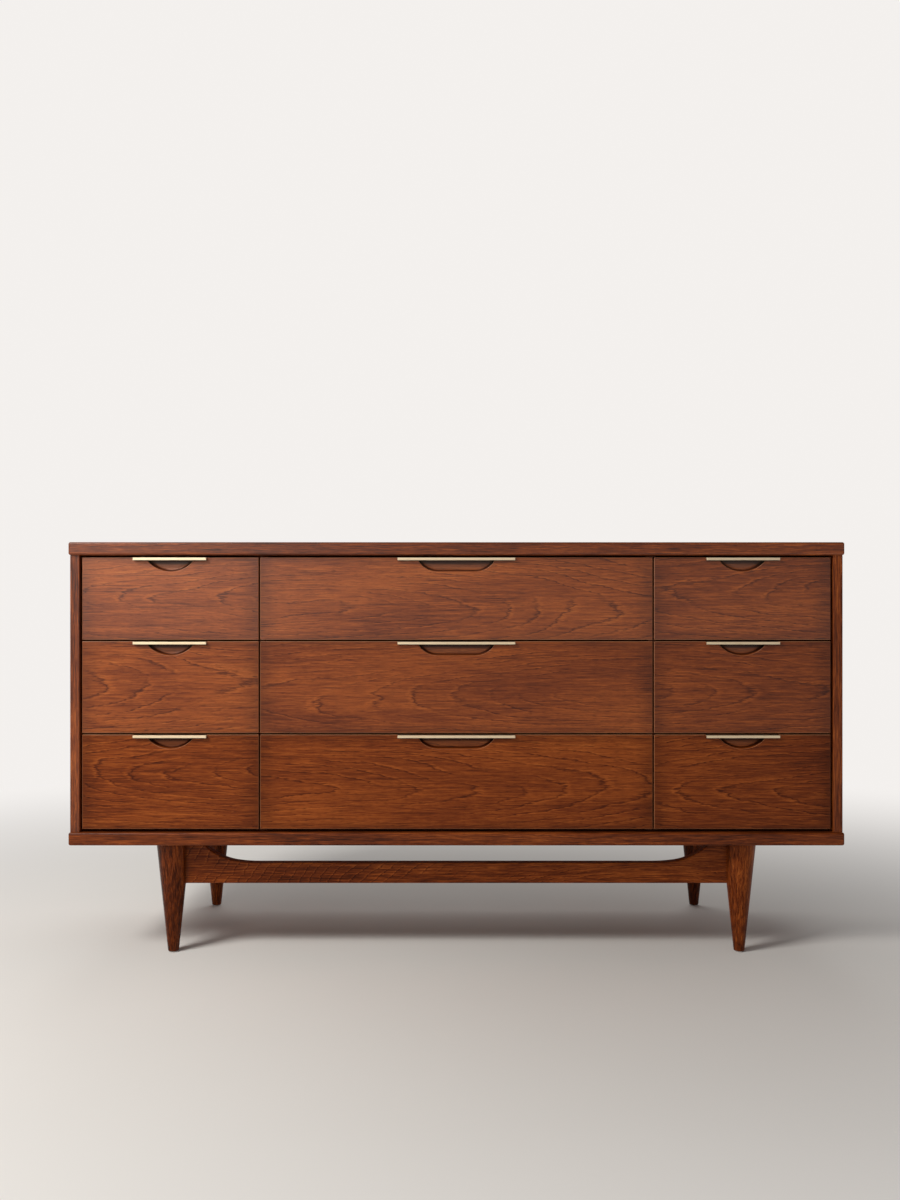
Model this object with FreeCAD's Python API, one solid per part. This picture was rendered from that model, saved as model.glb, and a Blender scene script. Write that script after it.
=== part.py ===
import FreeCAD, Part
import math
import os

from FreeCAD import Vector

# A nine-drawer dresser, in millimetres. The origin is on the floor under the middle of the case.
# +X is to the right seen from the front, the drawers open towards -Y, and +Z is up.

# ---- the case ----
CASE_WIDTH = 1524.0
CASE_DEPTH = 457.0
SLAB_THICKNESS = 25.4
SLAB_EDGE_RADIUS = 4.0
BASE_UNDERSIDE = 220.6
OPENING_HEIGHT = 545.0

SIDE_THICKNESS = 19.0
SIDE_END_INSET = 1.2
SIDE_FRONT_INSET = 6.0
SIDE_OUTER_RADIUS = 3.5
SIDE_INNER_RADIUS = 1.0

DIVIDER_THICKNESS = 18.0
DIVIDER_CENTRE = 388.0

BACK_THICKNESS = 6.0
BACK_LAP = 10.0
BACK_SCREW_SPACING = 180.0
BACK_SCREW_COLUMNS = 9

CASE_DOWEL_RADIUS = 4.0
CASE_DOWEL_IN_SLAB = 12.0
CASE_DOWEL_IN_PANEL = 18.0
CASE_DOWEL_ROWS = (-150.0, -50.0, 50.0, 150.0)

# ---- the drawer fronts ----
FRONT_INSET = 8.0
FRONT_THICKNESS = 20.0
FRONT_EASE = 1.2
FRONT_STOP_GAP = 1.0
ROW_NAMES = ("lower", "middle", "upper")
ROW_HEIGHTS = (185.8, 180.6, 162.2)
LOWEST_GAP = 6.0
ROW_GAP = 3.2
COLUMN_GAP = 3.2
SIDE_GAP = 4.9

# ---- the drawer boxes ----
BOX_WALL_GAP = 4.0
BOX_BOARD = 13.0
BOX_DEPTH = 400.0
BOX_ABOVE_FRONT_BOTTOM = 8.0
BOX_BELOW_FRONT_TOP = 20.0
BOTTOM_THICKNESS = 6.0
BOTTOM_GROOVE_DEPTH = 6.0
BOTTOM_UP = 8.0
TAILS_PER_CORNER = 5
PIN_INNER_WIDTH = 8.0
PIN_OUTER_WIDTH = 4.0

RUNNER_HEIGHT = 12.0
RUNNER_THICKNESS = 10.0
RUNNER_SIDE_PLAY = 0.5
RUNNER_TOP_PLAY = 0.3
RUNNER_BOTTOM_PLAY = 0.7
GROOVE_START = 24.0
RUNNER_REAR_GAP = 6.5
RUNNER_SCREW_ROWS = (-140.0, 20.0, 180.0)

# ---- the finger scoops: a flat-bottomed hollow with coved walls ----
SCOOP_DEPTH = 9.0
SCOOP_RIM_EASE = 0.8
SCOOP_COVE_RADIUS = 8.2
SCOOP_DROP = 28.2
SCOOP_RIM_RADIUS = {"side": 58.0, "centre": 44.0}
SCOOP_HALF_FLAT = {"side": 0.0, "centre": 37.0}

# ---- the edge pulls ----
PULL_LENGTH = {"side": 144.0, "centre": 231.0}
PULL_DROP = 1.0
PULL_LIP_HEIGHT = 5.2
PULL_LIP_THICKNESS = 3.0
PULL_PROUD = 7.5
PULL_WEB_THICKNESS = 2.0
PULL_WEB_ON_WOOD = 14.0
PULL_EDGE_RADIUS = 0.5
PULL_SCREW_END = 11.0

# ---- the legs and the stretcher ----
LEG_CENTRE_X = 568.0
LEG_CENTRE_Y = 181.5
LEG_TOP_RADIUS = 32.8
LEG_FOOT_RADIUS = 10.6
LEG_FOOT_EASE = 1.0
GLIDE_HEIGHT = 2.0
GLIDE_RADIUS = 7.75
GLIDE_EASE = 0.6
GLIDE_NAIL_RADIUS = 1.2
GLIDE_NAIL_LENGTH = 14.0

STRETCHER_THICKNESS = 22.0
STRETCHER_BEHIND_AXIS = 8.0
STRETCHER_UNDERSIDE = 137.0
STRETCHER_HEIGHT = 41.0
STRETCHER_HORN = 33.0
STRETCHER_STEEP_RADIUS = 112.0
STRETCHER_EASY_RADIUS = 290.0
STRETCHER_EASY_TURN = math.radians(8.5)
STRETCHER_EDGE_RADIUS = 2.0
STRETCHER_HOUSED = 10.0
LEG_FLAT = 24.2
STRETCHER_DOWEL_RADIUS = 5.0
STRETCHER_DOWEL_IN_LEG = 8.0
STRETCHER_DOWEL_IN_RAIL = 24.0
STRETCHER_DOWEL_HEIGHTS = (26.0, 58.0)

# ---- fasteners ----
WOOD_SCREW = {"head": 3.6, "shank": 1.75, "sink": 2.4, "length": 16.0}
RUNNER_SCREW = {"head": 3.6, "shank": 1.75, "sink": 2.4, "length": 18.0}
PULL_SCREW = {"head": 3.0, "shank": 1.5, "sink": 1.6, "length": 16.0}
LEG_BOLT_RADIUS = 4.0
LEG_BOLT_IN_LEG = 42.0
TEE_FLANGE_RADIUS = 11.0
TEE_FLANGE_THICKNESS = 2.0
TEE_BARREL_RADIUS = 5.5
TEE_BARREL_LENGTH = 12.0

# ---- worked out from the above ----
BASE_TOP = BASE_UNDERSIDE + SLAB_THICKNESS
TOP_UNDERSIDE = BASE_TOP + OPENING_HEIGHT
CASE_FRONT = -CASE_DEPTH / 2
CASE_REAR = CASE_DEPTH / 2
SIDE_OUTER = CASE_WIDTH / 2 - SIDE_END_INSET
SIDE_INNER = SIDE_OUTER - SIDE_THICKNESS
DIVIDER_INNER = DIVIDER_CENTRE - DIVIDER_THICKNESS / 2
DIVIDER_OUTER = DIVIDER_CENTRE + DIVIDER_THICKNESS / 2
FRONT_FACE = CASE_FRONT + FRONT_INSET
FRONT_REAR = FRONT_FACE + FRONT_THICKNESS
BACK_FACE = CASE_REAR - BACK_THICKNESS
BOX_REAR = FRONT_REAR + BOX_DEPTH
RUNNER_FRONT = FRONT_REAR + GROOVE_START + FRONT_STOP_GAP
RUNNER_REAR = BACK_FACE - RUNNER_REAR_GAP
RUNNER_IN_GROOVE = RUNNER_THICKNESS - BOX_WALL_GAP + RUNNER_SIDE_PLAY
LEG_FRONT_Y = -LEG_CENTRE_Y
STRETCHER_FACE = LEG_FRONT_Y + STRETCHER_BEHIND_AXIS - STRETCHER_THICKNESS / 2
STRETCHER_SHOULDER = LEG_CENTRE_X - LEG_FLAT
STRETCHER_END = STRETCHER_SHOULDER + STRETCHER_HOUSED
CUT_PAST = 1.0
SAME_LENGTH = 1e-6
FULL_TURN = 360.0
QUARTER_TURN = 90.0


def block(low, high):
    """A rectangular solid between two opposite corners."""
    size = [high[i] - low[i] for i in range(3)]
    return Part.makeBox(size[0], size[1], size[2], Vector(*low))


def rod(radius, start, end):
    """A round rod between two points."""
    start = Vector(*start)
    run = Vector(*end) - start
    return Part.makeCylinder(radius, run.Length, start, run)


def turned(outline, centre, axis):
    """A solid turned from a list of (radius, height) points about an axis through the centre."""
    points = [Vector(radius, 0, height) for radius, height in outline]
    face = Part.Face(Part.makePolygon(points + points[:1]))
    solid = face.revolve(Vector(0, 0, 0), Vector(0, 0, 1), FULL_TURN)
    solid.Placement = FreeCAD.Placement(Vector(*centre), FreeCAD.Rotation(Vector(0, 0, 1), Vector(*axis)))
    return solid


def screw(kind, place, outward):
    """A countersunk screw whose flat head lies at the place and faces outward."""
    outline = [
        (0, 0),
        (kind["head"], 0),
        (kind["shank"], -kind["sink"]),
        (kind["shank"], -kind["length"] + kind["shank"]),
        (0, -kind["length"]),
    ]
    return turned(outline, place, outward)


def edges_where(shape, test):
    """The straight edges whose two ends both pass the test."""
    found = []
    for edge in shape.Edges:
        ends = [vertex.Point for vertex in edge.Vertexes]
        if len(ends) == 2 and all(test(end) for end in ends):
            found.append(edge)
    return found


def close(a, b):
    """Whether two lengths are the same."""
    return abs(a - b) < SAME_LENGTH


def cut_all(shape, tools):
    """The shape with every tool cut out of it."""
    return shape.cut(Part.makeCompound(tools)) if tools else shape


def save(name, shape):
    """Writes one node as a STEP file."""
    shape.exportStep("parts/" + name + ".step")


# ---- layout of the rows and columns ----
def rows():
    """Each row's name with the bottom and top of its drawer fronts."""
    found = []
    bottom = BASE_TOP + LOWEST_GAP
    for name, height in zip(ROW_NAMES, ROW_HEIGHTS):
        found.append((name, bottom, bottom + height))
        bottom += height + ROW_GAP
    return found


def columns():
    """Each column's name, kind, the ends of its fronts, and the walls of its bay."""
    seam = COLUMN_GAP / 2
    outer = SIDE_INNER - SIDE_GAP
    return [
        ("left", "side", -outer, -DIVIDER_CENTRE - seam, -SIDE_INNER, -DIVIDER_OUTER),
        ("centre", "centre", -DIVIDER_CENTRE + seam, DIVIDER_CENTRE - seam, -DIVIDER_INNER, DIVIDER_INNER),
        ("right", "side", DIVIDER_CENTRE + seam, outer, DIVIDER_OUTER, SIDE_INNER),
    ]


def runner_height(bottom, top):
    """The height of the middle of the runner that carries the drawer with this front."""
    return (bottom + BOX_ABOVE_FRONT_BOTTOM + top - BOX_BELOW_FRONT_TOP) / 2


# ---- case fasteners ----
def case_dowels():
    """Dowels that join the two sides and two dividers to the top and the base."""
    middle_of_side = (SIDE_OUTER + SIDE_INNER) / 2
    dowels = []
    for x in (-middle_of_side, -DIVIDER_CENTRE, DIVIDER_CENTRE, middle_of_side):
        for y in CASE_DOWEL_ROWS:
            low = (x, y, BASE_TOP - CASE_DOWEL_IN_SLAB)
            dowels.append(rod(CASE_DOWEL_RADIUS, low, (x, y, BASE_TOP + CASE_DOWEL_IN_PANEL)))
            high = (x, y, TOP_UNDERSIDE + CASE_DOWEL_IN_SLAB)
            dowels.append(rod(CASE_DOWEL_RADIUS, (x, y, TOP_UNDERSIDE - CASE_DOWEL_IN_PANEL), high))
    return dowels


def back_screws():
    """Screws round the edge of the back panel and down its two dividers."""
    screws = []
    edge = BACK_LAP / 2
    middle_column = (BACK_SCREW_COLUMNS - 1) / 2
    for column in range(BACK_SCREW_COLUMNS):
        x = (column - middle_column) * BACK_SCREW_SPACING
        screws.append(screw(WOOD_SCREW, (x, CASE_REAR, BASE_TOP - edge), (0, 1, 0)))
        screws.append(screw(WOOD_SCREW, (x, CASE_REAR, TOP_UNDERSIDE + edge), (0, 1, 0)))
    middle = (BASE_TOP + TOP_UNDERSIDE) / 2
    for x in (-SIDE_INNER - edge, -DIVIDER_CENTRE, DIVIDER_CENTRE, SIDE_INNER + edge):
        for up in (-BACK_SCREW_SPACING, 0, BACK_SCREW_SPACING):
            screws.append(screw(WOOD_SCREW, (x, CASE_REAR, middle + up), (0, 1, 0)))
    return screws


def leg_places():
    """Each leg's name and the place of its axis."""
    return [
        ("leg_front_left", -LEG_CENTRE_X, -LEG_CENTRE_Y),
        ("leg_front_right", LEG_CENTRE_X, -LEG_CENTRE_Y),
        ("leg_rear_left", -LEG_CENTRE_X, LEG_CENTRE_Y),
        ("leg_rear_right", LEG_CENTRE_X, LEG_CENTRE_Y),
    ]


def leg_bolts():
    """A hanger bolt up the axis of each leg, into its nut in the base."""
    start = BASE_UNDERSIDE - LEG_BOLT_IN_LEG
    return [rod(LEG_BOLT_RADIUS, (x, y, start), (x, y, BASE_TOP)) for name, x, y in leg_places()]


def tee_nut(x, y):
    """A flanged nut let into the top of the base, flush with it."""
    flange_low = BASE_TOP - TEE_FLANGE_THICKNESS
    flange = rod(TEE_FLANGE_RADIUS, (x, y, flange_low), (x, y, BASE_TOP))
    barrel = rod(TEE_BARREL_RADIUS, (x, y, BASE_TOP - TEE_BARREL_LENGTH), (x, y, flange_low))
    return flange.fuse(barrel).cut(rod(LEG_BOLT_RADIUS, (x, y, BASE_UNDERSIDE), (x, y, BASE_TOP)))


def tee_nuts():
    """The four nuts that the leg bolts screw into."""
    return [tee_nut(x, y) for name, x, y in leg_places()]


# ---- the case ----
def slab(bottom):
    """A case slab: its front and end edges are rounded, its rear edges are square."""
    half = CASE_WIDTH / 2
    shape = block((-half, CASE_FRONT, bottom), (half, CASE_REAR, bottom + SLAB_THICKNESS))
    front = edges_where(shape, lambda p: close(p.y, CASE_FRONT))
    left = edges_where(shape, lambda p: close(p.x, -half) and not close(p.y, CASE_REAR))
    ends = [e for e in shape.Edges if close(abs(e.CenterOfMass.x), half) and close(e.CenterOfMass.y, 0)]
    rounded = {edge.hashCode(): edge for edge in front + left + ends}
    return shape.makeFillet(SLAB_EDGE_RADIUS, list(rounded.values()))


def back_panel():
    """The plywood back, before its screws are cut out of it."""
    reach = SIDE_INNER + BACK_LAP
    return block((-reach, BACK_FACE, BASE_TOP - BACK_LAP), (reach, CASE_REAR, TOP_UNDERSIDE + BACK_LAP))


def side_panel(side):
    """One end of the case, on the side -1 or 1, with the rabbet for the back panel."""
    inner, outer = sorted((side * SIDE_INNER, side * SIDE_OUTER))
    front = CASE_FRONT + SIDE_FRONT_INSET
    shape = block((inner, front, BASE_TOP), (outer, CASE_REAR, TOP_UNDERSIDE))
    outside = edges_where(shape, lambda p: close(p.x, side * SIDE_OUTER) and close(p.y, front))
    shape = shape.makeFillet(SIDE_OUTER_RADIUS, outside)
    inside = edges_where(shape, lambda p: close(p.x, side * SIDE_INNER) and close(p.y, front))
    return shape.makeFillet(SIDE_INNER_RADIUS, inside).cut(back_panel())


def divider(side):
    """A wall between two bays; the drawer fronts cover its front edge."""
    low, high = sorted((side * DIVIDER_INNER, side * DIVIDER_OUTER))
    front = FRONT_REAR + FRONT_STOP_GAP
    return block((low, front, BASE_TOP), (high, BACK_FACE, TOP_UNDERSIDE))


def runners_and_screws(wall_low, wall_high):
    """The runners of one bay, two for each drawer, and the screws that hold them."""
    runners = []
    screws = []
    for name, bottom, top in rows():
        z = runner_height(bottom, top)
        for wall, inward in ((wall_low, 1), (wall_high, -1)):
            face = wall + inward * RUNNER_THICKNESS
            low, high = sorted((wall, face))
            under = z - RUNNER_HEIGHT / 2
            strip = block((low, RUNNER_FRONT, under), (high, RUNNER_REAR, under + RUNNER_HEIGHT))
            own = [screw(RUNNER_SCREW, (face, y, z), (inward, 0, 0)) for y in RUNNER_SCREW_ROWS]
            runners.append(cut_all(strip, own))
            screws += own
    return runners, screws


def build_case():
    """Writes the slabs, sides, dividers, back, runners and what joins them."""
    dowels = case_dowels()
    fixings = back_screws()
    runner_screws = []
    for name, kind, front_low, front_high, wall_low, wall_high in columns():
        runners, screws = runners_and_screws(wall_low, wall_high)
        save("runners_" + name, Part.makeCompound(runners))
        runner_screws += screws
    bolts = leg_bolts()
    nuts = tee_nuts()
    let_in = dowels + fixings + runner_screws
    save("top_panel", cut_all(slab(TOP_UNDERSIDE).cut(back_panel()), dowels + fixings))
    save("base_panel", cut_all(slab(BASE_UNDERSIDE).cut(back_panel()), dowels + fixings + bolts + nuts))
    save("side_panel_left", cut_all(side_panel(-1), let_in))
    save("side_panel_right", cut_all(side_panel(1), let_in))
    save("divider_left", cut_all(divider(-1), let_in))
    save("divider_right", cut_all(divider(1), let_in))
    save("back_panel", cut_all(back_panel(), fixings))
    save("back_panel_screws", Part.makeCompound(fixings))
    save("runner_screws", Part.makeCompound(runner_screws))
    save("case_dowels", Part.makeCompound(dowels))
    save("leg_bolts", Part.makeCompound(bolts))
    save("tee_nuts", Part.makeCompound(nuts))


# ---- the legs and the stretcher ----
def glide(x, y):
    """A nail-on glide: a low disc with its nail up into the foot."""
    outline = [
        (0, 0),
        (GLIDE_RADIUS - GLIDE_EASE, 0),
        (GLIDE_RADIUS, GLIDE_EASE),
        (GLIDE_RADIUS, GLIDE_HEIGHT),
        (GLIDE_NAIL_RADIUS, GLIDE_HEIGHT),
        (GLIDE_NAIL_RADIUS, GLIDE_HEIGHT + GLIDE_NAIL_LENGTH),
        (0, GLIDE_HEIGHT + GLIDE_NAIL_LENGTH + GLIDE_NAIL_RADIUS),
    ]
    return turned(outline, (x, y, 0), (0, 0, 1))


def leg(x, y):
    """A round leg that tapers evenly from the base to an eased foot."""
    outline = [
        (0, GLIDE_HEIGHT),
        (LEG_FOOT_RADIUS - LEG_FOOT_EASE, GLIDE_HEIGHT),
        (LEG_FOOT_RADIUS, GLIDE_HEIGHT + LEG_FOOT_EASE),
        (LEG_TOP_RADIUS, BASE_UNDERSIDE),
        (0, BASE_UNDERSIDE),
    ]
    return turned(outline, (x, y, 0), (0, 0, 1))


def leg_flat(side):
    """The space cut from a front leg to leave the flat that the stretcher's shoulder lies against."""
    low, high = sorted((side * STRETCHER_SHOULDER, side * (LEG_CENTRE_X - 2 * LEG_TOP_RADIUS)))
    low_y = LEG_FRONT_Y - LEG_TOP_RADIUS
    high_y = LEG_FRONT_Y + LEG_TOP_RADIUS
    return block((low, low_y, STRETCHER_UNDERSIDE), (high, high_y, BASE_UNDERSIDE))


def stretcher_top():
    """One half of the top edge, from the horn at the base down to the level part, as two tangent arcs.

    The easy arc leaves the level part and turns by its own angle; the steep arc goes on up to the base.
    """
    top = STRETCHER_UNDERSIDE + STRETCHER_HEIGHT
    turn = STRETCHER_EASY_TURN
    easy_rise = STRETCHER_EASY_RADIUS * (1 - math.cos(turn))
    rise = BASE_UNDERSIDE - top - easy_rise
    last = math.acos(math.cos(turn) - rise / STRETCHER_STEEP_RADIUS)
    steep_run = STRETCHER_STEEP_RADIUS * (math.sin(last) - math.sin(turn))
    horn = STRETCHER_SHOULDER - STRETCHER_HORN
    join = horn - steep_run
    level_end = join - STRETCHER_EASY_RADIUS * math.sin(turn)

    def on_easy(angle):
        x = level_end + STRETCHER_EASY_RADIUS * math.sin(angle)
        return x, top + STRETCHER_EASY_RADIUS * (1 - math.cos(angle))

    def on_steep(angle):
        x = join + STRETCHER_STEEP_RADIUS * (math.sin(angle) - math.sin(turn))
        return x, top + easy_rise + STRETCHER_STEEP_RADIUS * (math.cos(turn) - math.cos(angle))

    easy = [on_easy(0.0), on_easy(turn / 2), on_easy(turn)]
    steep = [on_steep(turn), on_steep((turn + last) / 2), (horn, BASE_UNDERSIDE)]
    return easy, steep


def stretcher():
    """A rail housed in the front legs, whose ends sweep up to the base in a hollow curve."""
    easy, steep = stretcher_top()
    horn = steep[-1]
    corner = (STRETCHER_END, BASE_UNDERSIDE)
    foot = (STRETCHER_END, STRETCHER_UNDERSIDE)

    def point(place, side):
        return Vector(side * place[0], STRETCHER_FACE, place[1])

    edges = [Part.makeLine(point(place, -1), point(place, 1)) for place in (foot, easy[0])]
    for side in (-1, 1):
        edges.append(Part.makeLine(point(foot, side), point(corner, side)))
        edges.append(Part.makeLine(point(corner, side), point(horn, side)))
        for curve in (easy, steep):
            edges.append(Part.Arc(*[point(place, side) for place in curve]).toShape())
    outline = Part.Wire(Part.sortEdges(edges)[0])
    solid = Part.Face(outline).extrude(Vector(0, STRETCHER_THICKNESS, 0))
    faces = (STRETCHER_FACE, STRETCHER_FACE + STRETCHER_THICKNESS)
    long_edges = [e for e in solid.Edges if close(e.CenterOfMass.x, 0) and close(e.CenterOfMass.y, faces[0])]
    long_edges += [e for e in solid.Edges if close(e.CenterOfMass.x, 0) and close(e.CenterOfMass.y, faces[1])]
    return solid.makeFillet(STRETCHER_EDGE_RADIUS, long_edges)


def stretcher_dowels():
    """Two dowels at each end of the stretcher, from its end into the leg."""
    y = STRETCHER_FACE + STRETCHER_THICKNESS / 2
    dowels = []
    for side in (-1, 1):
        inner = side * (STRETCHER_END - STRETCHER_DOWEL_IN_RAIL)
        outer = side * (STRETCHER_END + STRETCHER_DOWEL_IN_LEG)
        for up in STRETCHER_DOWEL_HEIGHTS:
            z = STRETCHER_UNDERSIDE + up
            dowels.append(rod(STRETCHER_DOWEL_RADIUS, (inner, y, z), (outer, y, z)))
    return dowels


def build_legs():
    """Writes the four legs, their glides, the stretcher and its dowels."""
    dowels = stretcher_dowels()
    glides = [glide(x, y) for name, x, y in leg_places()]
    bolts = leg_bolts()
    rail = stretcher()
    housings = [leg_flat(-1), leg_flat(1), rail]
    for name, x, y in leg_places():
        shape = cut_all(leg(x, y), bolts + glides)
        if y < 0:
            for tool in housings + dowels:
                shape = shape.cut(tool)
        save(name, shape)
    save("foot_glides", Part.makeCompound(glides))
    save("stretcher", cut_all(rail, dowels))
    save("stretcher_dowels", Part.makeCompound(dowels))


# ---- the drawers ----
def quarter_arc(start, middle, end):
    """An arc through three (radius, height) places of a turned outline."""
    return Part.Arc(*[Vector(place[0], 0, place[1]) for place in (start, middle, end)]).toShape()


def cove_outline(rim):
    """Half the scoop's section: flat floor, a quarter round up the wall, and the eased rim at the face."""
    floor_radius = rim - SCOOP_COVE_RADIUS
    wall_top = SCOOP_COVE_RADIUS - SCOOP_DEPTH
    half = math.sqrt(0.5)
    floor_end = (floor_radius, -SCOOP_DEPTH)
    cove_middle = (floor_radius + half * SCOOP_COVE_RADIUS, wall_top - half * SCOOP_COVE_RADIUS)
    cove = quarter_arc(floor_end, cove_middle, (rim, wall_top))
    ease_middle = (rim + (1 - half) * SCOOP_RIM_EASE, (half - 1) * SCOOP_RIM_EASE)
    ease = quarter_arc((rim, -SCOOP_RIM_EASE), ease_middle, (rim + SCOOP_RIM_EASE, 0))
    corners = [(rim + SCOOP_RIM_EASE, 0), (rim + SCOOP_RIM_EASE, CUT_PAST), (0, CUT_PAST), (0, -SCOOP_DEPTH),
               floor_end]
    rest = Part.makePolygon([Vector(radius, 0, height) for radius, height in corners]).Edges
    return Part.Face(Part.Wire([cove, ease] + rest))


def scoop(kind, centre, top):
    """The hollow cut into a front under its pull: two quarter turns joined by a straight run."""
    rim = SCOOP_RIM_RADIUS[kind]
    flat = SCOOP_HALF_FLAT[kind]
    outward = FreeCAD.Rotation(Vector(0, 0, 1), Vector(0, -1, 0))
    centre_z = top - SCOOP_DROP + rim
    pieces = []
    for side, start in ((-1, 2 * QUARTER_TURN), (1, 3 * QUARTER_TURN)):
        quarter = cove_outline(rim).revolve(Vector(0, 0, 0), Vector(0, 0, 1), QUARTER_TURN)
        quarter.rotate(Vector(0, 0, 0), Vector(0, 0, 1), start)
        quarter.Placement = FreeCAD.Placement(Vector(0, 0, 0), outward) * quarter.Placement
        quarter.translate(Vector(centre + side * flat, FRONT_FACE, centre_z))
        pieces.append(quarter)
    if flat:
        section = cove_outline(rim)
        section.rotate(Vector(0, 0, 0), Vector(0, 0, 1), 3 * QUARTER_TURN)
        section.Placement = FreeCAD.Placement(Vector(0, 0, 0), outward) * section.Placement
        section.translate(Vector(centre - flat, FRONT_FACE, centre_z))
        pieces.append(section.extrude(Vector(2 * flat, 0, 0)))
    return pieces


def pull_bar(kind, centre, top):
    """An edge pull: a lip that stands proud of the front, and a web let into the front's top edge."""
    low = centre - PULL_LENGTH[kind] / 2
    high = centre + PULL_LENGTH[kind] / 2
    pull_top = top - PULL_DROP
    lip_front = FRONT_FACE - PULL_PROUD
    web_low = pull_top - PULL_WEB_THICKNESS
    lip_rear = lip_front + PULL_LIP_THICKNESS
    lip = block((low, lip_front, pull_top - PULL_LIP_HEIGHT), (high, lip_rear, pull_top))
    web = block((low, lip_front, web_low), (high, FRONT_FACE + PULL_WEB_ON_WOOD, pull_top))
    bar = lip.fuse(web).removeSplitter()
    shown = edges_where(bar, lambda p: p.y < lip_front + PULL_LIP_THICKNESS / 2)
    return bar.makeFillet(PULL_EDGE_RADIUS, shown)


def pull_screws(kind, centre, top):
    """Two screws down through the web into the top edge of the front."""
    reach = PULL_LENGTH[kind] / 2 - PULL_SCREW_END
    y = FRONT_FACE + PULL_WEB_ON_WOOD / 2
    return [screw(PULL_SCREW, (centre + side * reach, y, top - PULL_DROP), (0, 0, 1)) for side in (-1, 1)]


def drawer_front(kind, low, high, bottom, top):
    """The front board, eased round its face, with its scoop and the rebate for its pull."""
    centre = (low + high) / 2
    board = block((low, FRONT_FACE, bottom), (high, FRONT_REAR, top))
    board = board.makeFillet(FRONT_EASE, edges_where(board, lambda p: close(p.y, FRONT_FACE)))
    reach = PULL_LENGTH[kind] / 2
    rebate_low = (centre - reach, FRONT_FACE - CUT_PAST, top - PULL_DROP - PULL_WEB_THICKNESS)
    rebate = block(rebate_low, (centre + reach, FRONT_FACE + PULL_WEB_ON_WOOD, top + CUT_PAST))
    board = board.cut(rebate)
    for piece in scoop(kind, centre, top):
        board = board.cut(piece)
    return cut_all(board, pull_screws(kind, centre, top))


def pin(x_low, x_high, y_inner, y_outer, z):
    """One dovetail pin through a side board: wide inside the drawer, narrow outside."""
    corners = [
        Vector(x_low, y_inner, z - PIN_INNER_WIDTH / 2),
        Vector(x_low, y_outer, z - PIN_OUTER_WIDTH / 2),
        Vector(x_low, y_outer, z + PIN_OUTER_WIDTH / 2),
        Vector(x_low, y_inner, z + PIN_INNER_WIDTH / 2),
    ]
    return Part.Face(Part.makePolygon(corners + corners[:1])).extrude(Vector(x_high - x_low, 0, 0))


def corner_pins(x_low, x_high, y_inner, y_outer, bottom, top):
    """The pins of one corner: half pins at the edges and full pins between the tails."""
    pitch = (top - bottom) / TAILS_PER_CORNER
    near, far = sorted((y_inner, y_outer))
    board = block((x_low, near, bottom), (x_high, far, top))
    pins = [pin(x_low, x_high, y_inner, y_outer, bottom + i * pitch) for i in range(TAILS_PER_CORNER + 1)]
    return [one.common(board) for one in pins]


def drawer_box(low, high, bottom, top, floor):
    """Four boards dovetailed at the corners, with a groove for the floor and one for each runner."""
    inner_front = FRONT_REAR + BOX_BOARD
    inner_rear = BOX_REAR - BOX_BOARD
    spans = ((low, low + BOX_BOARD), (high - BOX_BOARD, high))
    ends = ((inner_front, FRONT_REAR), (inner_rear, BOX_REAR))
    pins = [[corner_pins(x0, x1, inner, outer, bottom, top) for x0, x1 in spans] for inner, outer in ends]
    boards = []
    for (inner, outer), corners in zip(ends, pins):
        near, far = sorted((inner, outer))
        board = block((low + BOX_BOARD, near, bottom), (high - BOX_BOARD, far, top))
        boards.append(board.multiFuse(corners[0] + corners[1]).removeSplitter())
    z = (bottom + top) / 2
    for index, (x0, x1) in enumerate(spans):
        side = block((x0, FRONT_REAR, bottom), (x1, BOX_REAR, top))
        outer = x0 if index == 0 else x1 - RUNNER_IN_GROOVE
        groove_low = (outer, FRONT_REAR + GROOVE_START, z - RUNNER_HEIGHT / 2 - RUNNER_BOTTOM_PLAY)
        groove_high = (outer + RUNNER_IN_GROOVE, BOX_REAR + CUT_PAST, z + RUNNER_HEIGHT / 2 + RUNNER_TOP_PLAY)
        groove = block(groove_low, groove_high)
        boards.append(cut_all(side, pins[0][index] + pins[1][index]).cut(groove))
    return [board.cut(floor) for board in boards]


def build_drawer(row, column):
    """Writes the four nodes of one drawer."""
    row_name, bottom, top = row
    column_name, kind, front_low, front_high, wall_low, wall_high = column
    name = "_" + row_name + "_" + column_name
    centre = (front_low + front_high) / 2
    low = wall_low + BOX_WALL_GAP
    high = wall_high - BOX_WALL_GAP
    box_bottom = bottom + BOX_ABOVE_FRONT_BOTTOM
    box_top = top - BOX_BELOW_FRONT_TOP
    lap = BOX_BOARD - BOTTOM_GROOVE_DEPTH
    floor_low = (low + lap, FRONT_REAR + lap, box_bottom + BOTTOM_UP)
    floor = block(floor_low, (high - lap, BOX_REAR - lap, box_bottom + BOTTOM_UP + BOTTOM_THICKNESS))
    screws = pull_screws(kind, centre, top)
    save("drawer_front" + name, drawer_front(kind, front_low, front_high, bottom, top))
    save("drawer_box" + name, Part.makeCompound(drawer_box(low, high, box_bottom, box_top, floor)))
    save("drawer_bottom" + name, floor)
    save("pull" + name, Part.makeCompound([cut_all(pull_bar(kind, centre, top), screws)] + screws))


os.makedirs("parts", exist_ok=True)
build_case()
build_legs()
for each_row in rows():
    for each_column in columns():
        build_drawer(each_row, each_column)
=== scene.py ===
import math

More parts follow.
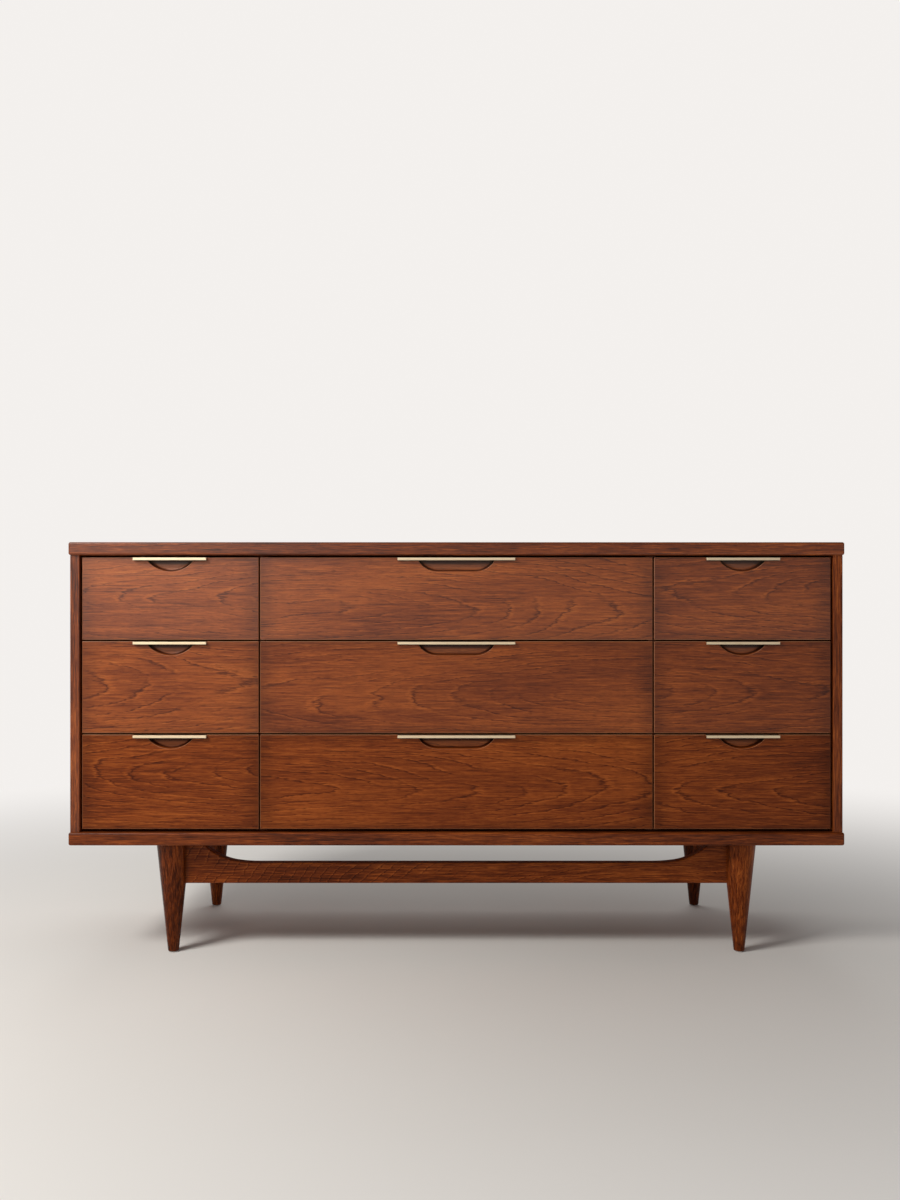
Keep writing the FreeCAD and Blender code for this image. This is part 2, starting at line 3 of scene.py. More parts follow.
import bpy
import numpy as np
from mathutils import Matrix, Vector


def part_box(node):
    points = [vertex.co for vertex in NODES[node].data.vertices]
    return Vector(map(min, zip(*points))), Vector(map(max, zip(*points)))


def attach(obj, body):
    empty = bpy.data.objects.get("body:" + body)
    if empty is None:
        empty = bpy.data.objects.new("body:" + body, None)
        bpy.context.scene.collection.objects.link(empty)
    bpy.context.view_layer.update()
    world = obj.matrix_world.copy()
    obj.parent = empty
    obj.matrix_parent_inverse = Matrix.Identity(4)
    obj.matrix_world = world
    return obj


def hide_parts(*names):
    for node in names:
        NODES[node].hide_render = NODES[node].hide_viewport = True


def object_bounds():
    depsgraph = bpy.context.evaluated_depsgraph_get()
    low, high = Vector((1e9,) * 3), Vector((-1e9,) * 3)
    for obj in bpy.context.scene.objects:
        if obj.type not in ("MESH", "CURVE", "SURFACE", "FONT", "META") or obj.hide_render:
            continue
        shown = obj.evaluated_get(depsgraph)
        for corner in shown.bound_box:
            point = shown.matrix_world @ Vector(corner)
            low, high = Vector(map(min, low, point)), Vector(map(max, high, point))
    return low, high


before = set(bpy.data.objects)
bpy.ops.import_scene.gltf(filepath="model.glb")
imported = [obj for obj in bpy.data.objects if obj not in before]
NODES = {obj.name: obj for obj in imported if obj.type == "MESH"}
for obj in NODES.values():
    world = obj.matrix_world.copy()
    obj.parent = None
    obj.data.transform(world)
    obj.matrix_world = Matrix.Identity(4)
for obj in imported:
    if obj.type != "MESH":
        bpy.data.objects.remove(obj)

CAD_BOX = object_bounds()
ROWS = ("lower", "middle", "upper")
COLUMNS = ("left", "centre", "right")
MM = 0.001


# ---- writing shaders ----
class Value:
    """A socket of a material, on which sums can be written. Each sum adds a Math node."""

    def __init__(self, shader, socket):
        self.shader = shader
        self.socket = socket

    def sum(self, operation, *others):
        """A Math node on this value and the others."""
        return self.shader.sum(operation, self, *others)

    def __add__(self, other):
        return self.sum("ADD", other)

    def __sub__(self, other):
        return self.sum("SUBTRACT", other)

    def __mul__(self, other):
        return self.sum("MULTIPLY", other)

    def __truediv__(self, other):
        return self.sum("DIVIDE", other)

    def __rsub__(self, other):
        return self.shader.sum("SUBTRACT", other, self)

    def __rtruediv__(self, other):
        return self.shader.sum("DIVIDE", other, self)

    __radd__ = __add__
    __rmul__ = __mul__


class Shader:
    """One material and the nodes it is made of."""

    def __init__(self, name):
        self.material = bpy.data.materials.new(name)
        self.material.use_nodes = True
        self.tree = self.material.node_tree
        self.tree.nodes.clear()
        self.place = self.node("ShaderNodeTexCoord", {}, {}, "Object")

    def node(self, kind, settings, inputs, output=0):
        """Adds a node: its settings first, then a number, colour or link for each named socket."""
        made = self.tree.nodes.new(kind)
        for key, value in settings.items():
            if key == "stops":
                self.set_stops(made.color_ramp, value)
            else:
                setattr(made, key, value)
        for key, value in inputs.items():
            if isinstance(value, Value):
                self.tree.links.new(value.socket, made.inputs[key])
            else:
                made.inputs[key].default_value = value
        return Value(self, made.outputs[output]) if made.outputs else made

    def set_stops(self, ramp, stops):
        """Gives a colour ramp its stops, each a place and a colour."""
        while len(ramp.elements) < len(stops):
            ramp.elements.new(1.0)
        for element, (place, colour) in zip(ramp.elements, stops):
            element.position = place
            element.color = (*colour, 1.0)

    def sum(self, operation, *numbers):
        """A Math node on numbers or values."""
        return self.node("ShaderNodeMath", {"operation": operation}, dict(enumerate(numbers)))

    def vector(self, operation, *vectors):
        """A Vector Math node on vectors."""
        return self.node("ShaderNodeVectorMath", {"operation": operation}, dict(enumerate(vectors)))

    def split(self, vector):
        """The three numbers of a vector."""
        first = self.node("ShaderNodeSeparateXYZ", {}, {"Vector": vector})
        outputs = first.socket.node.outputs
        return [Value(self, outputs[i]) for i in range(3)]

    def noise(self, stretch, seed, detail, rough=0.5):
        """Noise from 0 to 1 with so many features to the metre along X, Y and Z."""
        place = self.vector("MULTIPLY_ADD", self.place, stretch, (seed, seed * 1.7, seed * 0.6))
        sockets = {"Vector": place, "Scale": 1.0, "Detail": detail, "Roughness": rough}
        return self.node("ShaderNodeTexNoise", {}, sockets)

    def step(self, value, low, high):
        """Rises smoothly from 0 to 1 as the value goes from low to high."""
        sockets = {"Value": value, "From Min": low, "From Max": high}
        return self.node("ShaderNodeMapRange", {"interpolation_type": "SMOOTHSTEP"}, sockets)

    def ramp(self, value, stops):
        """The colour at a value, evenly blended between the two stops on either side of it."""
        return self.node("ShaderNodeValToRGB", {"stops": stops}, {"Fac": value})

    def mix(self, factor, first, second, how="MIX"):
        """One colour laid over another by the factor."""
        settings = {"data_type": "RGBA", "blend_type": how}
        return self.node("ShaderNodeMix", settings, {0: factor, 6: colour(first), 7: colour(second)}, 2)

    def facing(self):
        """The three numbers of the direction in which the surface faces."""
        return self.split(self.node("ShaderNodeNewGeometry", {}, {}, "Normal"))

    def finish(self, base, rough, height, relief, metal=0.0, specular=0.5):
        """Joins colour, roughness and relief to the surface. The relief is the height's depth in metres."""
        bump = self.node("ShaderNodeBump", {}, {"Strength": 1.0, "Distance": relief, "Height": height})
        sockets = {"Base Color": colour(base), "Roughness": rough, "Metallic": metal, "Normal": bump}
        sockets["Specular IOR Level"] = specular
        surface = self.node("ShaderNodeBsdfPrincipled", {}, sockets)
        self.node("ShaderNodeOutputMaterial", {}, {"Surface": surface})
        return self.material


def colour(value):
    """A colour with its alpha, or the link that was given."""
    return value if isinstance(value, Value) else (*value, 1.0)


# ---- materials ----
# Lengths are in metres and colours are linear. A wood's colours are stops from its darkest to its palest.
# Two numbers together are where a change begins and where it is complete.

# the coordinates along and across the grain, for each direction the grain may take
AXES = {"x": (0, 2), "y": (1, 0), "z": (2, 0)}
WALNUT = ((0.0, (0.045, 0.0080, 0.0014)), (0.35, (0.160, 0.0312, 0.0050)), (0.60, (0.285, 0.0660, 0.0104)),
          (1.0, (0.420, 0.1200, 0.0225)))
PORE = (0.035, 0.0060, 0.0016)
LATE_WOOD = (0.32, 0.26, 0.25)
HAIR_LINE = (0.40, 0.34, 0.32)
WALNUT_RELIEF = 0.00009

# the darkening of a drawer front towards its edges and a painted highlight along its very edge, by the distance
# from its ends and its long edges
EDGE_DARKENING = (0.44, 0.40, 0.38)
EDGE_DARKENING_WANDER = 0.03
DARKENING_FROM_END = (-0.005, 0.045)
DARKENING_FROM_SIDE = (-0.008, 0.022)
# painted highlight: the very edge of a front painted paler where light catches its arris
EDGE_PAINTED_HIGHLIGHT = (0.40, 0.17, 0.080)
EDGE_HIGHLIGHT_WIDTH = (0.0004, 0.0014)

# the painted light and shade of the finger scoop, by the depth behind the face, and where it ends, by the
# distance from the front's end
# painted highlight on the rim of the scoop
RIM_PAINTED_HIGHLIGHT = (0.46, 0.22, 0.12)
RIM_START = (0.00003, 0.0002)
RIM_END = (0.0006, 0.0010)
# painted shade in the cove of the scoop
COVE_SHADE = (0.15, 0.08, 0.05)
COVE_START = (0.0008, 0.0016)
COVE_END = (0.0074, 0.0088)
# painted light on the cove's upward-facing floor, as if lit from above
COVE_PAINTED_LIGHT = (0.34, 0.075, 0.010)
FACING_UP = (0.60, 1.0)
# painted sheen: the back of the scoop painted paler and greyer
SCOOP_BACK_PAINTED_SHEEN = (0.36, 0.15, 0.075)
BACK_START = (0.0078, 0.0090)
SQUARE_END = (0.001, 0.002)

# painted shade in the scoop under the bar, and a painted shadow line on the front under the bar, by the
# distance below the front's top edge and inside the bar's end
BAR_SHADE = (0.10, 0.08, 0.07)
BAR_SHADE_END = (0.0095, 0.0165)
# painted shadow: a thin dark line on the front just under the bar
BAR_PAINTED_SHADOW = (0.22, 0.18, 0.16)
BAR_SHADOW_END = (0.0066, 0.0088)
BAR_END = (-0.001, 0.001)

MAPLE = ((0.0, (0.42, 0.27, 0.14)), (0.5, (0.62, 0.45, 0.27)), (1.0, (0.74, 0.58, 0.38)))
BEECH = ((0.0, (0.33, 0.19, 0.10)), (0.5, (0.50, 0.32, 0.18)), (1.0, (0.62, 0.42, 0.26)))
BIRCH = ((0.0, (0.46, 0.31, 0.17)), (0.5, (0.66, 0.50, 0.31)), (1.0, (0.78, 0.64, 0.44)))
BROWN = ((0.0, (0.060, 0.026, 0.012)), (0.5, (0.120, 0.058, 0.028)), (1.0, (0.200, 0.105, 0.052)))
PALE_RELIEF = 0.00008

# the dovetails of a drawer box: the boards' thickness, the pins' half widths, and how squarely an end faces
BOX_BOARD = 0.013
TAILS = 5
PIN_INNER = 0.004
PIN_OUTER = 0.002
SQUARE_ON = 0.9
END_GRAIN = (0.30, 0.165, 0.075)
GLUE = (0.13, 0.07, 0.03)
GLUE_LINE = (0.00015, 0.00045)

# each metal when clean and when dull
BRASS = ((0.84, 0.70, 0.50), (0.70, 0.55, 0.36))
PLATED_STEEL = ((0.62, 0.60, 0.56), (0.38, 0.36, 0.32))
SCREW_STEEL = ((0.60, 0.57, 0.50), (0.33, 0.30, 0.25))
NICKEL = ((0.6, 0.58, 0.55), (0.3, 0.28, 0.26))
METAL_RELIEF = 0.00003
# a darker colour along the lowest part of each bar, fading in from below to above the given height
BAR_LOW_EDGE = (0.20, 0.115, 0.040)
LOW_EDGE_BELOW = 0.0004
LOW_EDGE_ABOVE = 0.0008


def along_grain(axis, along, across):
    """How many features to the metre, so many along the grain and so many across it."""
    stretch = [across] * 3
    stretch[AXES[axis][0]] = along
    return tuple(stretch)


def walnut(name, axis, seed, heart, tilt, spacing=0.0095, figure=1.0, front=None, warmth=0.0, gloss=0.0,
           specular=0.35, bold=1.3):
    """Lacquered walnut. The growth rings are cylinders about a line that runs nearly along the grain.

    The heart gives a place on that line (along the grain, across the board, and its depth under the face)
    and tilt is how fast it sinks, which draws the arches of a board sawn flat. The ring at a place is the
    root of aside squared plus sunk squared, divided by the spacing, and what is left of it after its whole
    number says where in the ring the place lies. A ring shows as a thin ragged dark line that comes and goes.
    Streaks, flecks and short dark pores lie along the grain.

    Figure is how dark the rings are, bold how strongly the streaks differ, warmth how light the whole board
    is and gloss how much smoother than plain lacquer. Front, which is the box of a drawer front and half the
    length of its bar, adds that front's darkening towards its edges and the painted light, shade and shadow
    of its edge, scoop and bar.
    """
    look = Shader(name)
    numbers = look.split(look.place)
    along, across = [numbers[i] for i in AXES[axis]]
    drift = look.noise(along_grain(axis, 1.7, 6.0), seed, 2.0) - 0.5
    ripple = look.noise(along_grain(axis, 13.0, 60.0), seed + 3.1, 3.0, 0.6) - 0.5
    ragged = look.noise(along_grain(axis, 55.0, 520.0), seed + 6.6, 2.0, 0.5) - 0.5
    sunk = (along - heart[0]) * tilt + heart[2] + drift * 0.06
    aside = across - heart[1] + drift * 0.03
    radius = look.sum("SQRT", aside * aside + sunk * sunk) + ripple * 0.0075 + ragged * 0.0036
    rings = look.sum("FRACT", radius / spacing)
    comes = look.step(look.noise(along_grain(axis, 5.0, 20.0), seed + 8.3, 2.0), 0.32, 0.56)
    late = look.step(rings, 0.84, 0.94) * (1.0 - look.step(rings, 0.95, 1.0)) * comes
    pale = look.step(rings, 0.0, 0.04) * (1.0 - look.step(rings, 0.06, 0.20)) * comes
    broad = look.noise(along_grain(axis, 2.4, 11.0), seed + 7.7, 3.0, 0.55)
    streak = look.noise(along_grain(axis, 7.0, 170.0), seed + 1.3, 4.0, 0.66)
    fleck = look.noise(along_grain(axis, 22.0, 520.0), seed + 5.9, 3.0, 0.7)
    hair = look.step(look.noise(along_grain(axis, 8.0, 430.0), seed + 2.7, 3.0, 0.6), 0.56, 0.66)
    pores = look.step(look.noise(along_grain(axis, 70.0, 1300.0), seed + 9.4, 1.0), 0.60, 0.68)
    play = (broad - 0.5) * 0.5 + (streak - 0.5) * 0.45 + (fleck - 0.5) * 0.8
    tone = 0.5 + play * bold + pale * 0.16 + warmth
    wood = look.ramp(tone, WALNUT)
    wood = look.mix(late * (0.83 * figure), wood, LATE_WOOD, "MULTIPLY")
    wood = look.mix(hair * 0.7, wood, HAIR_LINE, "MULTIPLY")
    wood = look.mix(pores * 0.5, wood, PORE)
    if front:
        wood = front_light_and_shade(look, wood, front, seed)
    rough = 0.42 - gloss + (streak - 0.5) * 0.14 + pores * 0.2 + (broad - 0.5) * 0.12
    height = fleck * 0.5 + (1.0 - pores) * 0.5 - late * 0.3 - hair * 0.3
    return look.finish(wood, rough, height, WALNUT_RELIEF, specular=specular)


def front_light_and_shade(look, wood, front, seed):
    """Darkens a front towards its edges, and paints shade in its scoop, a shadow under its bar and a highlight
    along its very edge.
    """
    low, high, bar_reach = front
    x, y, z = look.split(look.place)
    from_end = look.sum("MINIMUM", x - low.x, high.x - x)
    from_side = look.sum("MINIMUM", z - low.z, high.z - z)
    wander = (look.noise((9.0, 9.0, 9.0), seed + 2.2, 2.0) - 0.5) * EDGE_DARKENING_WANDER
    inside = look.step(from_end + wander, *DARKENING_FROM_END) * look.step(from_side + wander, *DARKENING_FROM_SIDE)
    # darker towards the front's ends and long edges
    wood = look.mix((1.0 - inside) * 0.62, wood, EDGE_DARKENING, "MULTIPLY")
    wood = scoop_light_and_shade(look, wood, y - low.y, high.z - z, look.step(from_end, *SQUARE_END))
    beside = bar_reach - look.sum("ABSOLUTE", x - (low.x + high.x) / 2)
    # painted shadow line on the front under the bar
    bar_shadow = (1.0 - look.step(high.z - z, *BAR_SHADOW_END)) * look.step(beside, *BAR_END)
    wood = look.mix(bar_shadow * 0.8, wood, BAR_PAINTED_SHADOW, "MULTIPLY")
    # painted highlight along the very edge of the front
    edge_highlight = 1.0 - look.step(look.sum("MINIMUM", from_end, from_side), *EDGE_HIGHLIGHT_WIDTH)
    return look.mix(edge_highlight * 0.5, wood, EDGE_PAINTED_HIGHLIGHT)


def scoop_light_and_shade(look, wood, depth, from_top, within):
    """Painted light and shade in the finger scoop: a highlight on its rim, shade in its cove, light on the
    cove's upward floor, a sheen on its back, and the bar's shadow.
    """
    # painted highlight on the scoop's rim
    rim = look.step(depth, *RIM_START) * (1.0 - look.step(depth, *RIM_END)) * within
    wood = look.mix(rim * 0.65, wood, RIM_PAINTED_HIGHLIGHT)
    started = look.step(depth, *COVE_START)
    cove = started * (1.0 - look.step(depth, *COVE_END)) * within
    # painted shade in the cove
    wood = look.mix(cove, wood, COVE_SHADE, "MULTIPLY")
    # painted light where the cove faces up
    wood = look.mix(cove * look.step(look.facing()[2], *FACING_UP) * 0.7, wood, COVE_PAINTED_LIGHT)
    # painted sheen on the scoop's back
    wood = look.mix(look.step(depth, *BACK_START) * 0.25, wood, SCOOP_BACK_PAINTED_SHEEN)
    under_bar = (1.0 - look.step(from_top, *BAR_SHADE_END)) * started * within
    return look.mix(under_bar * 0.92, wood, BAR_SHADE, "MULTIPLY")


def pale_wood(name, axis, seed, colours, contrast=1.0, rough=0.5):
    """Close-grained maple, beech or birch: faint streaks and small flecks."""
    look = Shader(name)
    broad = look.noise(along_grain(axis, 2.0, 18.0), seed, 3.0, 0.5)
    streak = look.noise(along_grain(axis, 6.0, 220.0), seed + 4.2, 4.0, 0.6)
    fleck = look.step(look.noise(along_grain(axis, 160.0, 900.0), seed + 8.8, 1.0), 0.64, 0.72)
    tone = 0.5 + (broad - 0.5) * contrast + (streak - 0.5) * 0.7 * contrast
    wood = look.mix(fleck * 0.3, look.ramp(tone, colours), colours[0][1])
    return look.finish(wood, rough + (streak - 0.5) * 0.15, streak * 0.6 + fleck * 0.4, PALE_RELIEF)


def dovetailed_maple(name, corners, seed):
    """Four maple boards: the sides have their grain along Y, the front and back along X.

    At each corner the pins of the front or back stand between the tails of the sides. A pin's half width
    grows evenly from its outer to its inner end. Ends of boards are darker, and a fine dark line of glue runs
    round every pin.
    """
    look = Shader(name)
    low, high = corners
    x, y, z = look.split(look.place)
    woods = []
    for axis, offset in (("y", 0.0), ("x", 3.3)):
        broad = look.noise(along_grain(axis, 2.0, 18.0), seed + offset, 3.0, 0.5)
        streak = look.noise(along_grain(axis, 6.0, 220.0), seed + offset + 4.2, 4.0, 0.6)
        woods.append(look.ramp(0.5 + (broad - 0.5) + (streak - 0.5) * 0.7, MAPLE))
    into_x = look.sum("MINIMUM", x - low.x, high.x - x)
    into_y = look.sum("MINIMUM", y - low.y, high.y - y)
    corner = look.sum("LESS_THAN", into_x, BOX_BOARD) * look.sum("LESS_THAN", into_y, BOX_BOARD)
    pitch = (high.z - low.z) / TAILS
    off_pin = look.sum("ABSOLUTE", look.sum("FRACT", (z - low.z) / pitch + 0.5) - 0.5) * pitch
    half_pin = PIN_OUTER + into_y / BOX_BOARD * (PIN_INNER - PIN_OUTER)
    pin = look.sum("LESS_THAN", off_pin, half_pin)
    across = look.sum("GREATER_THAN", into_x, BOX_BOARD) + corner * pin
    wood = look.mix(across, woods[0], woods[1])
    facing = look.facing()
    end_x = look.sum("GREATER_THAN", look.sum("ABSOLUTE", facing[0]), SQUARE_ON) * pin
    end_y = look.sum("GREATER_THAN", look.sum("ABSOLUTE", facing[1]), SQUARE_ON) * (1.0 - pin)
    ends = corner * (end_x + end_y)
    rays = look.noise((700.0, 700.0, 700.0), seed + 5.0, 3.0, 0.6)
    wood = look.mix(ends * (0.45 + rays * 0.4), wood, END_GRAIN)
    seam = corner * (1.0 - look.step(look.sum("ABSOLUTE", off_pin - half_pin), *GLUE_LINE))
    wood = look.mix(seam * 0.7, wood, GLUE)
    return look.finish(wood, 0.5 + (rays - 0.5) * 0.12, rays * 0.5 - seam, PALE_RELIEF)


def metal(name, axis, seed, clean, dull, rough, brushed, underside=None):
    """Brushed or plated metal: fine lines along one axis, a few dull patches and soft smears.

    Brushed is how many lines there are to the metre. Where an underside, a height, is given, the metal is
    darker up to there and plain above it.
    """
    look = Shader(name)
    lines = look.noise(along_grain(axis, 14.0, brushed), seed, 3.0, 0.65)
    smear = look.noise((60.0, 60.0, 60.0), seed + 2.9, 3.0, 0.6)
    shade = look.mix(look.step(smear, 0.5, 0.8) * 0.5, clean, dull)
    shade = look.mix((lines - 0.5) * 0.3 + 0.1, shade, dull)
    if underside:
        # darker along the lowest part of the metal
        z = look.split(look.place)[2]
        bright = look.step(z, underside - LOW_EDGE_BELOW, underside + LOW_EDGE_ABOVE)
        shade = look.mix((1.0 - bright) * 0.75, shade, BAR_LOW_EDGE)
    rough = rough + (lines - 0.5) * 0.2 + (smear - 0.5) * 0.12
    return look.finish(shade, rough, lines, METAL_RELIEF, metal=1.0)


def dress(node, material):
    """Gives every slot of a CAD node one material."""
    data = NODES[node].data
    if not data.materials:
        data.materials.append(material)
    for i in range(len(data.materials)):
        data.materials[i] = material


def dress_case():
    """Materials of the nodes that belong to the case."""
    top = walnut("walnut_top", "x", 11.0, (0.2, 0.05, 0.03), 0.05, warmth=-0.17, specular=0.42, bold=1.8)
    base = walnut("walnut_base", "x", 17.0, (-0.3, 0.05, 0.03), 0.06, warmth=-0.12, specular=0.18, bold=1.9)
    left = walnut("walnut_side_left", "z", 21.0, (0.4, 0.02, 0.05), 0.12, warmth=-0.13, bold=2.2)
    right = walnut("walnut_side_right", "z", 27.0, (0.6, 0.04, 0.05), 0.12, warmth=-0.11, specular=0.2,
                   bold=2.2)
    dress("top_panel", top)
    dress("base_panel", base)
    dress("side_panel_left", left)
    dress("side_panel_right", right)
    for i, node in enumerate(("divider_left", "divider_right")):
        dress(node, walnut("walnut_" + node, "z", 41.0 + 7 * i, (0.4, 0.0, 0.05), 0.1, warmth=-0.15))
    dress("back_panel", pale_wood("brown_plywood", "x", 8.0, BROWN, 1.2, 0.6))
    beech = pale_wood("beech", "y", 5.0, BEECH)
    for node in ("runners_left", "runners_centre", "runners_right", "case_dowels", "stretcher_dowels"):
        dress(node, beech)
    steel = metal("plated_steel", "y", 1.0, *PLATED_STEEL, 0.32, 900.0)
    for node in ("back_panel_screws", "runner_screws", "leg_bolts", "tee_nuts"):
        dress(node, steel)


def dress_legs():
    """Materials of the four legs, the stretcher and the glides."""
    for i, node in enumerate(("leg_front_left", "leg_front_right", "leg_rear_left", "leg_rear_right")):
        seed = 31.0 + 5 * i
        leg = walnut("walnut_" + node, "z", seed, (0.0, 0.5, 0.05), 0.1, 0.006, warmth=-0.20, gloss=0.14,
                     specular=0.10, bold=2.2)
        dress(node, leg)
    stretcher = walnut("walnut_stretcher", "x", 61.0, (0.35, 0.07, 0.0), 0.38, 0.008, 1.2, warmth=-0.19,
                       gloss=0.05, specular=0.10, bold=1.9)
    dress("stretcher", stretcher)
    dress("foot_glides", metal("nickelled_glide", "x", 2.0, *NICKEL, 0.3, 700.0))


# painted light and shade on the fronts: each row and column is made lighter or darker and each row more or less
# shiny as the light falls on it, darker to the right and the bottom, shinier at the top
ROW_PAINTED_LIGHT = {"lower": -0.045, "middle": 0.01, "upper": 0.012}
COLUMN_PAINTED_LIGHT = {"left": 0.02, "centre": -0.020, "right": -0.080}
ROW_PAINTED_SHEEN = {"lower": 0.12, "middle": 0.28, "upper": 0.48}

# how the arches of a front lie, and how far up the bars are darker along their lowest part
FRONT_TILT = 0.1
HEART_DEPTH = 0.06
HEART_SWAY_X = 0.1
HEART_SWAY_Z = 0.02
LOW_EDGE_UP = 0.0012


def dress_drawers():
    """Materials of the nodes that belong to the nine drawers."""
    birch = pale_wood("birch_plywood", "x", 15.0, BIRCH)
    for i, row in enumerate(ROWS):
        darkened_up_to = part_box("pull_" + row + "_centre")[0].z + LOW_EDGE_UP
        brass = metal("satin_brass_" + row, "x", 6.0, *BRASS, 0.58, 1600.0, darkened_up_to)
        for j, column in enumerate(COLUMNS):
            name = row + "_" + column
            seed = 100.0 + 37.0 * i + 11.0 * j
            tilt = FRONT_TILT if (i + j) % 2 else -FRONT_TILT
            dress("drawer_front_" + name, walnut_front(name, seed, tilt, row, column))
            dress("drawer_box_" + name, dovetailed_maple("maple_" + name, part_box("drawer_box_" + name), seed))
            dress("drawer_bottom_" + name, birch)
            dress("pull_" + name, brass)


def walnut_front(name, seed, tilt, row, column):
    """The walnut of one drawer front. Its rings arch about a heart near its middle.

    The heart is swayed from the middle by a sine of the seed along the front and by a cosine of it upwards.
    """
    bar_low, bar_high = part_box("pull_" + name)
    low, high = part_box("drawer_front_" + name)
    middle = (low + high) / 2
    heart_x = middle.x + HEART_SWAY_X * math.sin(seed)
    heart_z = middle.z + HEART_SWAY_Z * math.cos(seed)
    front = (low, high, (bar_high.x - bar_low.x) / 2)
    # painted light and shade: the row's and column's lightness and the row's sheen
    tone = ROW_PAINTED_LIGHT[row] + COLUMN_PAINTED_LIGHT[column]
    sheen = ROW_PAINTED_SHEEN[row]
    return walnut("walnut_front_" + name, "x", seed, (heart_x, heart_z, HEART_DEPTH), tilt, front=front,
                  warmth=tone, specular=sheen)


# ---- screws ----
TURN_STEPS = 48
CREASE = math.radians(35.0)

# places in the back and in the drawer boxes, in metres
SCREW_STEP = 0.18
ALONG_EDGE = np.arange(-4, 5) * SCREW_STEP
UP_UPRIGHT = np.arange(-1, 2) * SCREW_STEP
HEAD = 0.0036
DIVIDER_CENTRE = 0.388
FROM_CORNER = 0.07
SCREWS_ACROSS = {"left": 2, "centre": 4, "right": 2}

# A screw's cross and outline, in millimetres. The cross fades over the slope before its edge, both as shares
# of its reach, and the taper is the share of its depth lost at its reach. An outline is pairs of a radius
# and a depth behind the face, close together where the cross is pressed in.
CROSS_REACH = 2.1
CROSS_HALF_WIDTH = 0.45
CROSS_DEPTH = 1.3
CROSS_EDGE = 1.25
CROSS_SLOPE = 0.4
CROSS_TAPER = 0.6
FLAT_HEAD = ((0.25, 0.0), (0.45, 0.0), (0.62, 0.0), (0.9, 0.0), (1.2, 0.0), (1.5, 0.0), (1.8, 0.0),
             (2.05, 0.0), (2.3, 0.0), (2.7, 0.0), (3.35, 0.0), (3.55, 0.07), (3.6, 0.2), (1.75, 2.4),
             (1.75, 14.2), (1.1, 15.2))
FLAT_HEAD_TIP = 16.0
ROUND_HEAD = ((0.25, -2.30), (0.45, -2.29), (0.62, -2.28), (0.9, -2.25), (1.2, -2.20), (1.5, -2.13),
              (1.8, -2.04), (2.05, -1.95), (2.3, -1.85), (2.8, -1.56), (3.3, -1.15), (3.7, -0.66),
              (3.9, -0.25), (3.9, 0.15))
ROUND_HEAD_FOOT = 0.15


def screws(name, profile, tip, places):
    """Cross-recessed screws that face +Y, one at each place.

    Each is the profile turned about Y: x is the radius times the cosine of the turn and z the radius times
    its sine. A cross is pressed into it, the hidden shank included: a point lies in the cross when one of x
    and z is within the half width and the other within the reach, and it goes in by the depth less a part
    that grows evenly with the radius. The surface closes on one point in the face and on one at the tip.
    """
    radius, depth = np.array(profile).T
    angle = np.arange(TURN_STEPS) * (2 * math.pi / TURN_STEPS)
    x = radius[:, None] * np.cos(angle)
    z = radius[:, None] * np.sin(angle)
    y = np.repeat(-depth[:, None], TURN_STEPS, axis=1)
    arm_x = np.maximum(np.abs(x) / CROSS_REACH, np.abs(z) / CROSS_HALF_WIDTH)
    arm_z = np.maximum(np.abs(z) / CROSS_REACH, np.abs(x) / CROSS_HALF_WIDTH)
    inside = np.clip((CROSS_EDGE - np.minimum(arm_x, arm_z)) / CROSS_SLOPE, 0.0, 1.0)
    y -= CROSS_DEPTH * inside * (1.0 - CROSS_TAPER * radius[:, None] / CROSS_REACH)
    ends = np.array([[0.0, -depth[0] - CROSS_DEPTH, 0.0], [0.0, -tip, 0.0]])
    one = np.concatenate([np.stack([x, y, z], axis=2).reshape(-1, 3), ends]) * MM
    ring = np.arange(TURN_STEPS)
    after = (ring + 1) % TURN_STEPS
    start = np.arange(len(radius) - 1)[:, None] * TURN_STEPS
    below = start + TURN_STEPS
    quads = np.stack([start + ring, start + after, below + after, below + ring], axis=2)
    last = (len(radius) - 1) * TURN_STEPS
    middle = len(radius) * TURN_STEPS
    face = np.stack([np.full(TURN_STEPS, middle), after, ring], axis=1)
    point = np.stack([last + ring, last + after, np.full(TURN_STEPS, middle + 1)], axis=1)
    places = np.array(places)
    vertices = (places[:, None, :] + one[None, :, :]).reshape(-1, 3)
    shift = (np.arange(len(places)) * len(one))[:, None, None]
    faces = (quads.reshape(1, -1, 4) + shift).reshape(-1, 4).tolist()
    faces += (np.concatenate([face, point])[None, :, :] + shift).reshape(-1, 3).tolist()
    data = bpy.data.meshes.new(name)
    data.from_pydata(vertices.tolist(), [], faces)
    data.shade_smooth()
    data.set_sharp_from_angle(angle=CREASE)
    made = bpy.data.objects.new(name, data)
    bpy.context.scene.collection.objects.link(made)
    return made


def fit_screws():
    """Flat-headed screws in the back, and round-headed ones that hold each drawer box to its front."""
    steel = metal("screw_steel", "y", 51.0, *SCREW_STEEL, 0.34, 700.0)
    low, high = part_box("back_panel_screws")
    middle = (low.z + high.z) / 2
    places = [(x, high.y, z) for x in ALONG_EDGE for z in (low.z + HEAD, high.z - HEAD)]
    uprights = (low.x + HEAD, -DIVIDER_CENTRE, DIVIDER_CENTRE, high.x - HEAD)
    places += [(x, high.y, middle + z) for x in uprights for z in UP_UPRIGHT]
    back = screws("back_screws", FLAT_HEAD, FLAT_HEAD_TIP, places)
    back.data.materials.append(steel)
    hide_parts("back_panel_screws")
    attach(back, "case")
    for row in ROWS:
        for column in COLUMNS:
            name = row + "_" + column
            low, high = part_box("drawer_box_" + name)
            across = np.linspace(low.x + FROM_CORNER, high.x - FROM_CORNER, SCREWS_ACROSS[column])
            places = [(x, low.y + BOX_BOARD, (low.z + high.z) / 2) for x in across]
            heads = screws("front_screws_" + name, ROUND_HEAD, ROUND_HEAD_FOOT, places)
            heads.data.materials.append(steel)
            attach(heads, "drawer_" + name)


